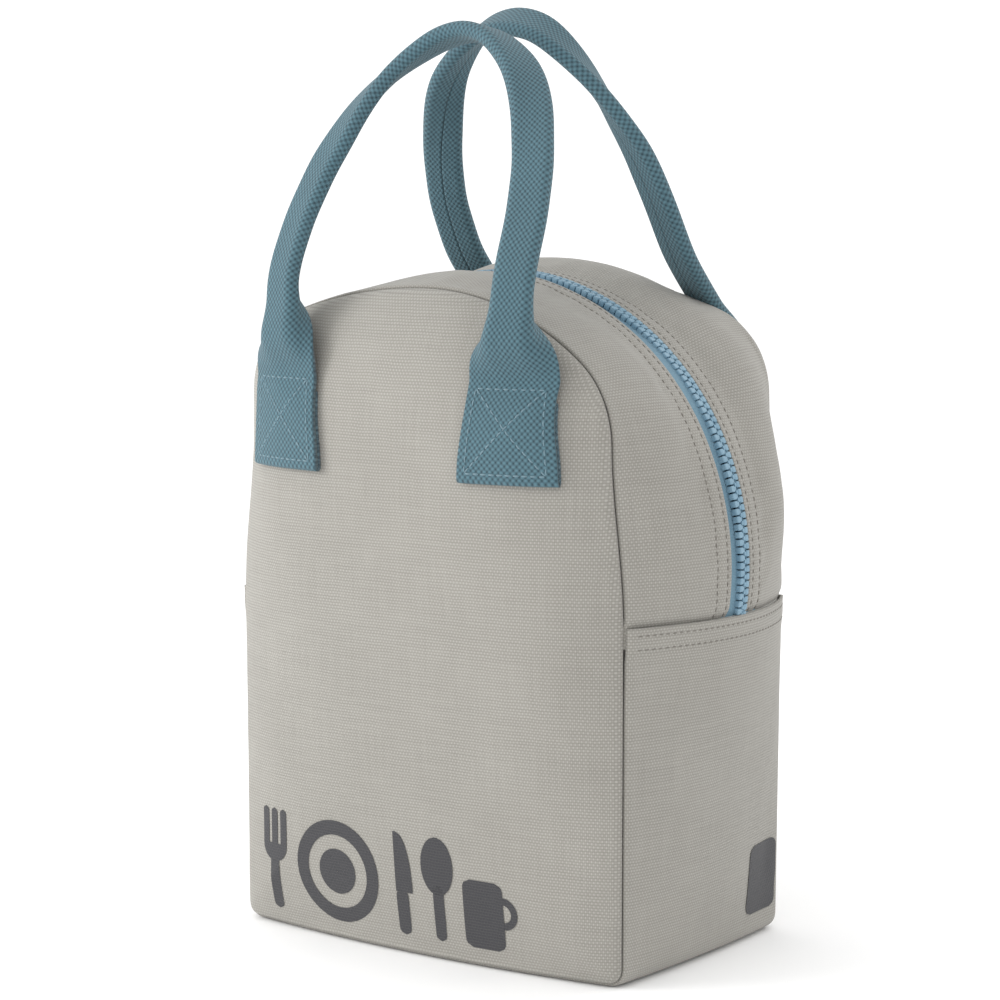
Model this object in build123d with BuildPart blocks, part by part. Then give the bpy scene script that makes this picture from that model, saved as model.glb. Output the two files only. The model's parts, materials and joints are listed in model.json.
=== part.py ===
from build123d import *

import os
from math import asin, cos, degrees, hypot, radians, sin, sqrt

# Soft zip-top lunch bag: padded and lined canvas walls that part at an arched zipper, and two webbing
# handles sewn to the panels.
#
# Millimetres. +Z is up, +X is the bag's right side as its front is seen, and the front panel faces
# -Y. The origin is on the face that the bag rests on, at the middle of the base.

# ---------------------------------------------------------------- driving dimensions
SEAM_Y = 57.5                 # the seams around the two panels lie on the planes y = -57.5 and 57.5
SEAM_HALF_WIDTH = 95.0
SEAM_TOP = 268.0
CROWN_RADIUS = 126.0          # the shallow arch over the panels
SHOULDER_RADIUS = 38.0
FOOT_RADIUS = 9.0

ZIP_CENTRE_Z = 158.0          # the zipper lies on one circle about this height
ZIP_RADIUS = 113.0            # outside of the canvas beside the zipper
BAND_HALF = 16.0              # the gusset is a plain band this far each side of the zipper
BASE_HALF_WIDTH = 98.0        # half of the gusset's width at the floor, at mid depth
HEM_Z = 140.0                 # top edge of the lower gusset, where the zipper ends
FOLD_Z = 158.0                # the walls above this height fold outwards

CANVAS = 1.2
FOAM = 4.0
LINING = 0.6
TAPE = 0.6
BINDING = 1.4
CANVAS_IN = CANVAS
TAPE_IN = CANVAS + TAPE
FOAM_IN = CANVAS + FOAM
LINING_IN = CANVAS + FOAM + LINING
BINDING_IN = LINING_IN + BINDING

# How far each panel stands out from its seams, at two distances inside its outline.
BULGE_EDGE = 11.0
BULGE_EDGE_INSET = 4.0
BULGE = 18.0
BULGE_INSET = 11.0
BULGE_TOP = 248.0
BULGE_CROWN_RADIUS = 200.0
BULGE_SHOULDER_RADIUS = 14.0
PANEL_FACE = SEAM_Y + BULGE
EDGE_FLOOR = 2.0              # the bulged edge and the flat middle start this high above the floor
FACE_FLOOR = 8.0
SMALLEST_FOOT = 2.0
EDGE_SLOPE = 0.8              # inner layers of the bulged edge move in by this share of their depth

CHAIN_HALF = 3.1              # half of the width of the two meshed rows of teeth
CHAIN_GAP_HALF = 0.7
CANVAS_EDGE = 5.6             # the canvas and the lining end this far from the middle plane
LINING_EDGE = 9.0
TAPE_INNER = CHAIN_HALF
TAPE_OUTER = 15.5
TAPE_TAIL = 8.0               # the tape runs on this far below the hem
TOOTH_PITCH = 3.0
TOOTH_LENGTH = 1.9
TOOTH_HEIGHT = 2.4
TOOTH_RADIUS = ZIP_RADIUS - CANVAS - TAPE / 2
STOP_LENGTH = 1.8
SLIDER_LENGTH = 11.0
SLIDER_WIDE = 4.9
SLIDER_NARROW = 4.2
PLATE = 1.4
RUNNING_GAP = 0.35
PIN_RADIUS = 0.8
PIN_HEIGHT = 2.4              # pin's centre above the slider's outer plate
SLIDER_CORNER = 1.5
WEDGE_LENGTH = 3.4            # the wedge between the slider's plates that parts the teeth
WEDGE_SETBACK = 2.2
WEDGE_GAP = 0.4
LUG_INNER = 2.6
LUG_OUTER = 3.6
PULL_LENGTH = 27.0
PULL_WIDTH = 7.5
PULL_THICKNESS = 1.6
PULL_EYE_RADIUS = 1.45
PULL_NECK_LENGTH = 7.0
PULL_CORNER = 2.8
PULL_HOLE_LENGTH = 8.0
PULL_HOLE_WIDTH = 3.0
PULL_HOLE_UP = 8.0            # the hole's centre above the pull's lower end
NECK_OVERLAP = 1.0

WEBBING_WIDTH = 40.0
TAB_THICKNESS = 3.5
TAB_BOTTOM = 194.0
TAB_TOP = 231.0
TAB_CENTRE_X = 55.0
HINGE_GAP = 0.3               # between a tab and the grip that bends above it
GRIP_WIDTH = 20.0             # the webbing folded in half
GRIP_THICKNESS = 5.0
TAB_EDGE_RADIUS = 1.5
GRIP_EDGE_RADIUS = 2.0
FLARE_ROOT = 2.0              # the flare is drawn from this far below the tab's top and trimmed
GRIP_STAND_OFF = 1.4          # clear gap between the grips and the panels
FLARE = 36.0                  # length over which the webbing narrows to the grip
BEND_RADIUS = 60.0
LOOP_SIDE_RADIUS = 105.0
LOOP_CROWN_RADIUS = 38.0
# Each handle's legs lean in over the bag a little, and its loop leans in more.
LEG_LEAN = {"front": 2.0, "rear": 8.0}
LOOP_LEAN = {"front": 28.0, "rear": 40.0}
HANDLE_TOP = {"front": 367.0, "rear": 370.0}

HANDLE_HINGE_Y = PANEL_FACE + GRIP_STAND_OFF + GRIP_THICKNESS

BINDING_WIDTH = 7.0
BINDING_BOTTOM = 16.0
BOARD = 2.0
BOARD_HALF_X = 78.0
BOARD_HALF_Y = 48.0
BOARD_CORNER = 12.0
STOP_GAP = 0.4                # between the end teeth, the stops and the slider

BIG = 400.0                   # beyond the bag on every side
SIDES = (("front", -1), ("rear", 1))


# ---------------------------------------------------------------- the bag's form
def outline_face(y, half, floor, foot, shoulder, crown, top):
    """A face across y: a flat foot with small corners, upright sides, round shoulders and a crown."""
    crown_z = top - crown
    centre_x = half - shoulder
    centre_z = crown_z + sqrt((crown - shoulder) ** 2 - centre_x**2)
    turn = degrees(asin((centre_z - crown_z) / (crown - shoulder)))
    with BuildLine(Plane.XZ.offset(-y)) as outline:
        Line((-half + foot, floor), (half - foot, floor))
        CenterArc((half - foot, floor + foot), foot, -90, 90)
        Line((half, floor + foot), (half, HEM_Z))
        Line((half, HEM_Z), (half, centre_z))
        CenterArc((centre_x, centre_z), shoulder, 0, turn)
        CenterArc((0, crown_z), crown, turn, 180 - 2 * turn)
        CenterArc((-centre_x, centre_z), shoulder, 180 - turn, turn)
        Line((-half, centre_z), (-half, HEM_Z))
        Line((-half, HEM_Z), (-half, floor + foot))
        CenterArc((-half + foot, floor + foot), foot, 180, 90)
    return make_face(outline.edges(), mode=Mode.PRIVATE)


def seam_outline(y, inset, floor):
    """A face across y with the panel seam's outline, moved inwards by inset and standing at floor."""
    foot = max(FOOT_RADIUS - inset, SMALLEST_FOOT)
    half = SEAM_HALF_WIDTH - inset
    shoulder = SHOULDER_RADIUS - inset
    return outline_face(y, half, floor, foot, shoulder, CROWN_RADIUS - inset, SEAM_TOP - inset)


def face_outline(y, inset):
    """A face across y with the outline of a panel's flat middle, moved inwards by inset."""
    half = SEAM_HALF_WIDTH - BULGE_INSET - inset
    shoulder = BULGE_SHOULDER_RADIUS - inset
    crown = BULGE_CROWN_RADIUS - inset
    floor = FACE_FLOOR + inset
    return outline_face(y, half, floor, SMALLEST_FOOT, shoulder, crown, BULGE_TOP - inset)


def zip_outline(y, inset):
    """A face across y with the gusset's outline beside the zipper: sloping sides under a circle."""
    radius = ZIP_RADIUS - inset
    foot = max(FOOT_RADIUS - inset, SMALLEST_FOOT)
    foot_x = BASE_HALF_WIDTH - inset - foot
    knee = degrees(asin((HEM_Z - ZIP_CENTRE_Z) / radius))
    knee_x = radius * cos(radians(knee))
    run, rise = knee_x - foot_x, HEM_Z - inset - foot
    lean = degrees(asin(run / hypot(run, rise)) - asin(foot / hypot(run, rise)))
    tangent_x = foot_x + foot * cos(radians(lean))
    tangent_z = inset + foot - foot * sin(radians(lean))
    low, high = 30.0, 48.0
    with BuildLine(Plane.XZ.offset(-y)) as outline:
        Line((-foot_x, inset), (foot_x, inset))
        CenterArc((foot_x, inset + foot), foot, -90, 90 - lean)
        Line((tangent_x, tangent_z), (knee_x, HEM_Z))
        CenterArc((0, ZIP_CENTRE_Z), radius, knee, low - knee)
        CenterArc((0, ZIP_CENTRE_Z), radius, low, high - low)
        CenterArc((0, ZIP_CENTRE_Z), radius, high, 180 - 2 * high)
        CenterArc((0, ZIP_CENTRE_Z), radius, 180 - high, high - low)
        CenterArc((0, ZIP_CENTRE_Z), radius, 180 - low, low - knee)
        Line((-knee_x, HEM_Z), (-tangent_x, tangent_z))
        CenterArc((-foot_x, inset + foot), foot, 180 + lean, 90 - lean)
    return make_face(outline.edges(), mode=Mode.PRIVATE)


def bag_form(inset):
    """The solid inside the bag's outer surface moved inwards by inset."""
    sections = []
    for sign in (-1, 1):
        edge_y = sign * (SEAM_Y + BULGE_EDGE - EDGE_SLOPE * inset)
        half = [
            face_outline(sign * (PANEL_FACE - inset), inset),
            seam_outline(edge_y, BULGE_EDGE_INSET + inset, EDGE_FLOOR + inset),
            seam_outline(sign * SEAM_Y, inset, inset),
            zip_outline(sign * BAND_HALF, inset),
        ]
        sections += half if sign < 0 else reversed(half)
    with BuildPart() as form:
        for near, far in zip(sections, sections[1:]):
            loft([near, far], ruled=True)
    return form.part


def clip(low, high, mode=Mode.INTERSECT):
    """Keep, or cut away, the box from low to high in the part being made."""
    with Locations(tuple((a + b) / 2 for a, b in zip(low, high))):
        Box(*[b - a for a, b in zip(low, high)], mode=mode)


def layer(outer, inner, y_range, z_range):
    """The layer between two forms, in the part being made, within ranges of y and z."""
    add(outer)
    add(inner, mode=Mode.SUBTRACT)
    clip((-BIG, min(y_range), z_range[0]), (BIG, max(y_range), z_range[1]))


form_canvas = bag_form(0.0)
form_foam = bag_form(CANVAS_IN)
form_tape = bag_form(TAPE_IN)
form_lining = bag_form(FOAM_IN)
form_space = bag_form(LINING_IN)
form_binding = bag_form(BINDING_IN)


# ---------------------------------------------------------------- lower gusset and base
with BuildPart() as lower_gusset:
    layer(form_canvas, form_foam, (-SEAM_Y, SEAM_Y), (-1, HEM_Z))
lower_gusset.part.label = "lower_gusset"

with BuildPart() as gusset_foam_lower:
    layer(form_foam, form_lining, (-SEAM_Y, SEAM_Y), (0, FOLD_Z))
    clip((-BIG, -BAND_HALF, HEM_Z - TAPE_TAIL - 2), (BIG, BAND_HALF, BIG), mode=Mode.SUBTRACT)
gusset_foam_lower.part.label = "gusset_foam_lower"

with BuildPart() as gusset_lining_lower:
    layer(form_lining, form_space, (-SEAM_Y, SEAM_Y), (0, FOLD_Z))
    clip((-BIG, -LINING_EDGE, HEM_Z), (BIG, LINING_EDGE, BIG), mode=Mode.SUBTRACT)
gusset_lining_lower.part.label = "gusset_lining_lower"

with BuildPart() as base_board:
    with BuildSketch(Plane.XY.offset(LINING_IN)):
        RectangleRounded(2 * BOARD_HALF_X, 2 * BOARD_HALF_Y, BOARD_CORNER)
    extrude(amount=BOARD)
base_board.part.label = "base_board"

with BuildPart() as zip_tape_ends:
    for sign in (-1, 1):
        with BuildPart(mode=Mode.PRIVATE) as tape_end:
            layer(form_foam, form_tape, (sign * TAPE_INNER, sign * TAPE_OUTER), (HEM_Z - TAPE_TAIL, FOLD_Z))
        add(tape_end.part)
zip_tape_ends.part.label = "zip_tape_ends"

made = [lower_gusset, gusset_foam_lower, gusset_lining_lower, base_board, zip_tape_ends]


# ---------------------------------------------------------------- walls of both halves
# name, outside of the layer, inside of the layer, range of y on the rear side
PANEL_LAYERS = (
    ("panel", form_canvas, form_foam, (SEAM_Y, BIG)),
    ("foam", form_foam, form_lining, (SEAM_Y, BIG)),
    ("lining", form_lining, form_space, (SEAM_Y, BIG)),
)
STRIP_LAYERS = (
    ("zip_strip", form_canvas, form_foam, (CANVAS_EDGE, SEAM_Y)),
    ("strip_foam", form_foam, form_lining, (BAND_HALF, SEAM_Y)),
    ("strip_lining", form_lining, form_space, (LINING_EDGE, SEAM_Y)),
    ("zip_tape", form_foam, form_tape, (TAPE_INNER, TAPE_OUTER)),
)

for side, sign in SIDES:
    for name, outer, inner, (near, far) in PANEL_LAYERS:
        for half, z_range in (("lower", (-1, FOLD_Z)), ("upper", (FOLD_Z, BIG))):
            with BuildPart() as wall:
                layer(outer, inner, (sign * near, sign * far), z_range)
            wall.part.label = f"{side}_{name}_{half}"
            made.append(wall)

    for name, outer, inner, (near, far) in STRIP_LAYERS:
        with BuildPart() as strip:
            layer(outer, inner, (sign * near, sign * far), (FOLD_Z, BIG))
        strip.part.label = f"{side}_{name}"
        made.append(strip)

    with BuildPart() as strip_ends:
        layer(form_canvas, form_foam, (sign * CANVAS_EDGE, sign * SEAM_Y), (HEM_Z, FOLD_Z))
    strip_ends.part.label = f"{side}_strip_ends"
    made.append(strip_ends)

    for half, z_range in (("lower", (BINDING_BOTTOM, FOLD_Z)), ("upper", (FOLD_Z, BIG))):
        with BuildPart() as binding:
            layer(form_space, form_binding, (sign * (SEAM_Y - BINDING_WIDTH), sign * SEAM_Y), z_range)
        binding.part.label = f"{side}_binding_{half}"
        made.append(binding)


# ---------------------------------------------------------------- zipper
TOOTH_STEP = degrees(TOOTH_PITCH / TOOTH_RADIUS)
TOOTH_HALF_ANGLE = degrees(TOOTH_LENGTH / 2 / TOOTH_RADIUS)
TOOTH_HALF_WIDTH = (CHAIN_HALF - CHAIN_GAP_HALF) / 2
TOOTH_Y = CHAIN_GAP_HALF + TOOTH_HALF_WIDTH
STOP_HALF_ANGLE = degrees(STOP_LENGTH / 2 / TOOTH_RADIUS)
SMALL_GAP_ANGLE = degrees(STOP_GAP / TOOTH_RADIUS)
HEM_ANGLE = degrees(asin((HEM_Z - ZIP_CENTRE_Z) / TOOTH_RADIUS))
STOP_ANGLE = HEM_ANGLE + STOP_HALF_ANGLE + SMALL_GAP_ANGLE
SLIDER_ANGLE = STOP_ANGLE + STOP_HALF_ANGLE + SMALL_GAP_ANGLE + degrees(SLIDER_LENGTH / 2 / TOOTH_RADIUS)


def on_zip(angle, y=0.0):
    """A place on the zipper. The angle is 0 at the left fold, 90 at the top and 180 at the right fold."""
    x = -TOOTH_RADIUS * cos(radians(angle))
    z = ZIP_CENTRE_Z + TOOTH_RADIUS * sin(radians(angle))
    return Location((x, y, z), (0, angle - 90, 0))


def tooth_places(sign, first, last):
    """The places of one row's teeth between two angles; the rows are half a pitch out of step."""
    phase = 90 + (TOOTH_STEP / 2 if sign > 0 else 0)
    steps = range(int((first - phase) / TOOTH_STEP) - 1, int((last - phase) / TOOTH_STEP) + 2)
    angles = [phase + step * TOOTH_STEP for step in steps]
    inside = [a for a in angles if first + TOOTH_HALF_ANGLE < a < last - TOOTH_HALF_ANGLE]
    return [on_zip(angle, sign * TOOTH_Y) for angle in inside]


for side, sign in SIDES:
    with BuildPart() as zip_teeth:
        with Locations(*tooth_places(sign, SMALL_GAP_ANGLE, 180 - SMALL_GAP_ANGLE)):
            Box(TOOTH_LENGTH, 2 * TOOTH_HALF_WIDTH, TOOTH_HEIGHT)
    zip_teeth.part.label = f"{side}_zip_teeth"
    made.append(zip_teeth)

FIRST_TOOTH = STOP_ANGLE + STOP_HALF_ANGLE + SMALL_GAP_ANGLE / 2
with BuildPart() as zip_end_teeth:
    for sign in (-1, 1):
        with Locations(*tooth_places(sign, FIRST_TOOTH, 0), *tooth_places(sign, 180, 180 - FIRST_TOOTH)):
            Box(TOOTH_LENGTH, 2 * TOOTH_HALF_WIDTH, TOOTH_HEIGHT)
zip_end_teeth.part.label = "zip_end_teeth"

with BuildPart() as top_stops:
    with Locations(on_zip(STOP_ANGLE, -TOOTH_Y), on_zip(STOP_ANGLE, TOOTH_Y)):
        Box(STOP_LENGTH, 2 * TOOTH_HALF_WIDTH, TOOTH_HEIGHT)
top_stops.part.label = "top_stops"

with BuildPart() as bottom_stop:
    with Locations(on_zip(180 - STOP_ANGLE)):
        Box(STOP_LENGTH, 2 * CHAIN_HALF, TOOTH_HEIGHT)
bottom_stop.part.label = "bottom_stop"

made += [zip_end_teeth, top_stops, bottom_stop]


# ---------------------------------------------------------------- slider and its pull
# The slider's plane: x runs up the chain, y along the bag's depth and z out of the bag.
slider_plane = Plane(on_zip(SLIDER_ANGLE))
PLATE_BASE = TOOTH_HEIGHT / 2 + RUNNING_GAP
LUG_BASE = PLATE_BASE + PLATE
FLANGE_Y = CHAIN_HALF + RUNNING_GAP
TAPE_SLOT = TAPE / 2 + RUNNING_GAP
LUG_HALF = 2.2
LUG_TOP_RADIUS = 1.5
half_length = SLIDER_LENGTH / 2
plate_corners = (
    (-half_length, -SLIDER_WIDE),
    (half_length, -SLIDER_NARROW),
    (half_length, SLIDER_NARROW),
    (-half_length, SLIDER_WIDE),
)

with BuildPart() as zip_slider:
    for base in (PLATE_BASE, -PLATE_BASE - PLATE):
        with BuildSketch(slider_plane.offset(base)):
            Polygon(*plate_corners, align=None)
            fillet(vertices(), SLIDER_CORNER)
        extrude(amount=PLATE)
    for base in (TAPE_SLOT, -PLATE_BASE):
        with BuildSketch(slider_plane.offset(base)):
            Polygon(*plate_corners, align=None)
            Rectangle(2 * SLIDER_LENGTH, 2 * FLANGE_Y, mode=Mode.SUBTRACT)
        extrude(amount=PLATE_BASE - TAPE_SLOT)
    with BuildSketch(slider_plane.offset(-PLATE_BASE)):
        with Locations((-half_length + WEDGE_SETBACK, 0)):
            SlotOverall(WEDGE_LENGTH, 2 * CHAIN_GAP_HALF - WEDGE_GAP)
    extrude(amount=2 * PLATE_BASE)
    for y in (-LUG_OUTER, LUG_INNER):
        lug_origin = slider_plane.from_local_coords((0, y, LUG_BASE))
        with BuildSketch(Plane(lug_origin, x_dir=slider_plane.x_dir, z_dir=slider_plane.y_dir)):
            with Locations((0, -PIN_HEIGHT / 2)):
                Rectangle(2 * LUG_HALF, PIN_HEIGHT)
            with Locations((0, -PIN_HEIGHT)):
                Circle(LUG_TOP_RADIUS)
        extrude(amount=LUG_OUTER - LUG_INNER)
    pin_origin = slider_plane.from_local_coords((0, -LUG_INNER, LUG_BASE + PIN_HEIGHT))
    with BuildSketch(Plane(pin_origin, x_dir=slider_plane.x_dir, z_dir=slider_plane.y_dir)):
        Circle(PIN_RADIUS)
    extrude(amount=2 * LUG_INNER)
zip_slider.part.label = "zip_slider"

# The pull hangs straight down from the slider's pin, and its plane faces away from the bag.
pull_pivot = slider_plane.from_local_coords((0, 0, LUG_BASE + PIN_HEIGHT))
pull_plane = Plane(pull_pivot, x_dir=(0, -1, 0), z_dir=(-1, 0, 0))
NECK_HALF = LUG_INNER - 0.3
EYE_RUN_GAP = 0.08
BLADE_LENGTH = PULL_LENGTH - PULL_NECK_LENGTH + NECK_OVERLAP
eye_origin = (pull_pivot.X, -NECK_HALF, pull_pivot.Z)

with BuildPart() as pull_tab:
    with BuildSketch(Plane(eye_origin, x_dir=(1, 0, 0), z_dir=(0, 1, 0))):
        Circle(PULL_EYE_RADIUS)
    extrude(amount=2 * NECK_HALF)
    with BuildSketch(pull_plane.offset(-PULL_THICKNESS / 2)):
        with Locations((0, -PULL_NECK_LENGTH / 2)):
            Rectangle(2 * NECK_HALF, PULL_NECK_LENGTH)
        with Locations((0, -PULL_LENGTH + BLADE_LENGTH / 2)):
            RectangleRounded(PULL_WIDTH, BLADE_LENGTH, PULL_CORNER)
        with Locations((0, -PULL_LENGTH + PULL_HOLE_UP)):
            SlotOverall(PULL_HOLE_LENGTH, PULL_HOLE_WIDTH, rotation=90, mode=Mode.SUBTRACT)
    extrude(amount=PULL_THICKNESS)
    with BuildSketch(Plane(eye_origin, x_dir=(1, 0, 0), z_dir=(0, 1, 0))):
        Circle(PIN_RADIUS + EYE_RUN_GAP)
    extrude(amount=2 * NECK_HALF, mode=Mode.SUBTRACT)
pull_tab.part.label = "pull_tab"

made += [zip_slider, pull_tab]


# ---------------------------------------------------------------- handles
for side, sign in SIDES:
    for hand, across in (("left", -1), ("right", 1)):
        with BuildPart() as tab:
            with BuildSketch(Plane.XZ.offset(-sign * PANEL_FACE)):
                with Locations((across * TAB_CENTRE_X, (TAB_BOTTOM + TAB_TOP) / 2)):
                    Rectangle(WEBBING_WIDTH, TAB_TOP - TAB_BOTTOM)
            extrude(amount=-sign * TAB_THICKNESS)
        tab.part.label = f"{side}_tab_{hand}"
        made.append(tab)

    # A leg leans in by low, bends on an arc until it leans in by high, and goes on into the loop.
    low, high = radians(LEG_LEAN[side]), radians(LOOP_LEAN[side])
    leg_up = Vector(0, -sign * sin(low), cos(low))
    foot = Vector(TAB_CENTRE_X, sign * (HANDLE_HINGE_Y - GRIP_THICKNESS / 2), TAB_TOP)
    flare_start = Plane(foot - leg_up * FLARE_ROOT, x_dir=(1, 0, 0), z_dir=leg_up)
    flare_end = flare_start.offset(FLARE_ROOT + FLARE)
    bend_start = flare_end.origin
    bend_rise = BEND_RADIUS * (sin(high) - sin(low))
    bend_end = bend_start + Vector(0, -sign * BEND_RADIUS * (cos(low) - cos(high)), bend_rise)
    loop_up = Vector(0, -sign * sin(high), cos(high))
    loop_plane = Plane((0, bend_end.Y, bend_end.Z), x_dir=(1, 0, 0), z_dir=Vector(1, 0, 0).cross(loop_up))
    crown_y = (HANDLE_TOP[side] - bend_end.Z) / cos(high) - LOOP_CROWN_RADIUS
    side_x = TAB_CENTRE_X - LOOP_SIDE_RADIUS
    leg_top = crown_y - sqrt((LOOP_SIDE_RADIUS - LOOP_CROWN_RADIUS) ** 2 - side_x**2)
    turn = degrees(asin((crown_y - leg_top) / (LOOP_SIDE_RADIUS - LOOP_CROWN_RADIUS)))

    with BuildPart() as handle:
        with BuildSketch(flare_start):
            RectangleRounded(WEBBING_WIDTH, TAB_THICKNESS, TAB_EDGE_RADIUS)
        with BuildSketch(flare_end):
            RectangleRounded(GRIP_WIDTH, GRIP_THICKNESS, GRIP_EDGE_RADIUS)
        loft(ruled=True)
        with BuildLine(Plane.YZ.offset(TAB_CENTRE_X)) as bend:
            JernArc(
                start=(bend_start.Y, bend_start.Z),
                tangent=(leg_up.Y, leg_up.Z),
                radius=BEND_RADIUS,
                arc_size=sign * (LOOP_LEAN[side] - LEG_LEAN[side]),
            )
        with BuildSketch(flare_end):
            RectangleRounded(GRIP_WIDTH, GRIP_THICKNESS, GRIP_EDGE_RADIUS)
        sweep(path=bend.wire())
        mirror(about=Plane.YZ)
        with BuildLine(loop_plane) as loop:
            Line((TAB_CENTRE_X, 0), (TAB_CENTRE_X, leg_top))
            CenterArc((side_x, leg_top), LOOP_SIDE_RADIUS, 0, turn)
            CenterArc((0, crown_y), LOOP_CROWN_RADIUS, turn, 180 - 2 * turn)
            CenterArc((-side_x, leg_top), LOOP_SIDE_RADIUS, 180 - turn, turn)
            Line((-TAB_CENTRE_X, leg_top), (-TAB_CENTRE_X, 0))
        with BuildSketch(Plane(bend_end, x_dir=(1, 0, 0), z_dir=loop_up)):
            RectangleRounded(GRIP_WIDTH, GRIP_THICKNESS, GRIP_EDGE_RADIUS)
        sweep(path=loop.wire())
        y_range = (-sign * BIG, sign * HANDLE_HINGE_Y)
        clip((-BIG, min(y_range), TAB_TOP + HINGE_GAP), (BIG, max(y_range), 2 * BIG))
    handle.part.label = f"{side}_handle"
    made.append(handle)


# ---------------------------------------------------------------- write every piece
os.makedirs("parts", exist_ok=True)
for piece in made:
    export_step(piece.part, f"parts/{piece.part.label}.step")

print("zip slider turns about y at x 0, z", ZIP_CENTRE_Z, "through", 180 - 2 * SLIDER_ANGLE, "degrees")
print("pull pivot", pull_pivot)
print("walls fold at y", PANEL_FACE, "z", FOLD_Z)
print("handles turn at y", HANDLE_HINGE_Y, "z", TAB_TOP + HINGE_GAP / 2)
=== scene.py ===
import json
import math

import bpy
import numpy as np
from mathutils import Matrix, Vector


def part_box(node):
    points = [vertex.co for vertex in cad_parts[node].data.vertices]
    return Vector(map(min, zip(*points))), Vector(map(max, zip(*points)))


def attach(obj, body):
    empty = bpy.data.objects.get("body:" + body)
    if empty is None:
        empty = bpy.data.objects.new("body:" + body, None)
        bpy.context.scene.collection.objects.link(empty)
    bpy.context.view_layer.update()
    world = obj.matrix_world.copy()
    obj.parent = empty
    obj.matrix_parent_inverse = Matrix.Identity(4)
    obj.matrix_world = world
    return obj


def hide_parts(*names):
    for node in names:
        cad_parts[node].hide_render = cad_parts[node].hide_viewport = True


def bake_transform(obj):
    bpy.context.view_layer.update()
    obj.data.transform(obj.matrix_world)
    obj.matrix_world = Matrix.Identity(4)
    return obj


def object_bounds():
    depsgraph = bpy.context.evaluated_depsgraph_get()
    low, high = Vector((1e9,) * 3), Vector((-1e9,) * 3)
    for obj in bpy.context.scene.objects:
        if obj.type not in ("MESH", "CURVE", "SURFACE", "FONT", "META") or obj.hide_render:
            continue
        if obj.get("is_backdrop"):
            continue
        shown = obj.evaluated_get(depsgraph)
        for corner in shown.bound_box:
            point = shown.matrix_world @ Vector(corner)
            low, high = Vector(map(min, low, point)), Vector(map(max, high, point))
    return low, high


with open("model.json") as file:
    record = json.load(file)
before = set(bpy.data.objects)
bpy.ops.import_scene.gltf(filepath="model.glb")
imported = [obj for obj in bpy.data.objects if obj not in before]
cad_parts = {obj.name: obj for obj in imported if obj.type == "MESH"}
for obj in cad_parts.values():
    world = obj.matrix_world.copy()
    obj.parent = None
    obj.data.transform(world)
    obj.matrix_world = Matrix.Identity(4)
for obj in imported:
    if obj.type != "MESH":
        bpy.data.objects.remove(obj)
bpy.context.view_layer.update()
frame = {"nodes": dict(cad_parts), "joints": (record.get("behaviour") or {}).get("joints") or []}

# A soft zip-top lunch bag. Metres, in the CAD frame: +Z up, the front panel faces -Y.
# Sheets of cloth are grids of points: rows run along a sheet and columns across it.

MM = 0.001

# ---- sizes from the frame
SEAM_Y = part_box("lower_gusset")[1].y
HEM_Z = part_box("lower_gusset")[1].z
SEAM_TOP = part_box("front_panel_upper")[1].z
SEAM_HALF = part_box("front_panel_lower")[1].x + 0.5 * MM
ZIP_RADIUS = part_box("front_zip_strip")[1].x
TAB_LOW, TAB_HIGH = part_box("front_tab_right")
TAB_X = (TAB_LOW.x + TAB_HIGH.x) / 2
WEBBING_HALF = (TAB_HIGH.x - TAB_LOW.x) / 2
JOINTS = {joint["name"]: joint for joint in frame["joints"]}
ZIP_Z = JOINTS["zip_slider_travel"]["pos_m"][2]

BASE_HALF = 98 * MM
FOOT = 7 * MM
CANVAS = 1.2 * MM
FOAM = 4.0 * MM
LINING = 0.6 * MM
TOOTH_RADIUS = ZIP_RADIUS - CANVAS
BULGE_LOW = 13 * MM           # how far the stuffed panels stand out from their seams, near the base
BULGE_HIGH = 23 * MM          # and at the handles' tabs
BULGE_REACH = 110 * MM        # the distance from the seam over which they do
BASE_BOW = 8 * MM             # the bottom seams bow outwards this far at their middle
ROLL = 3.2 * MM               # the cloth rolls in to a seam over this distance
SEAM_DEPTH = 2.2 * MM
ZIP_EDGE = {"front": 8.2 * MM, "rear": 4.6 * MM}
STITCH_ROWS = (2.6 * MM, 8.6 * MM)
HEM_ROWS = (3.0 * MM, 8.4 * MM)
UNDER_HEM = 8 * MM            # the zip strips run on this far behind the hem
HIDDEN_DROP = 1.7 * MM
CALM_ZONE = 25 * MM           # the panels' slow ripples grow to full height over this distance
CALM_SEED = 11
CALM_SCALE, CALM_HEIGHT = 0.11, 0.7 * MM
SIDES = (("front", -1), ("rear", 1))
# Stitches: pitch, length, width and rise.
CANVAS_STITCH = (3.1 * MM, 2.3 * MM, 0.62 * MM, 0.28 * MM)
WEBBING_STITCH = (3.3 * MM, 2.5 * MM, 0.75 * MM, 0.3 * MM)


# ---- outlines in the XZ plane
def arc(cx, cz, radius, first, last, count):
    """Points on an arc, angles in degrees from +X towards +Z."""
    a = np.radians(np.linspace(first, last, count))
    return np.stack([cx + radius * np.cos(a), cz + radius * np.sin(a)], 1)


def smooth(t):
    t = np.clip(t, 0, 1)
    return t * t * (3 - 2 * t)


def unit(v):
    """Vectors of length 1 in the same directions."""
    return v / np.maximum(np.linalg.norm(v, axis=-1, keepdims=True), 1e-12)


def along(points):
    """The length run to each point of a line."""
    steps = np.linalg.norm(np.diff(points, axis=0), axis=1)
    return np.concatenate([[0], np.cumsum(steps)])


def sampled(at, run, points):
    """Points of a line where its run has the values at."""
    return np.stack([np.interp(at, run, points[:, k]) for k in range(points.shape[1])], -1)


def resample(points, count):
    """The same line with evenly spaced points."""
    run = along(points)
    return sampled(np.linspace(0, run[-1], count), run, points)


def curve(t, p0, p1, p2):
    """A quadratic curve from p0 to p2, drawn towards p1."""
    return (1 - t) ** 2 * p0 + 2 * t * (1 - t) * p1 + t**2 * p2


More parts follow.
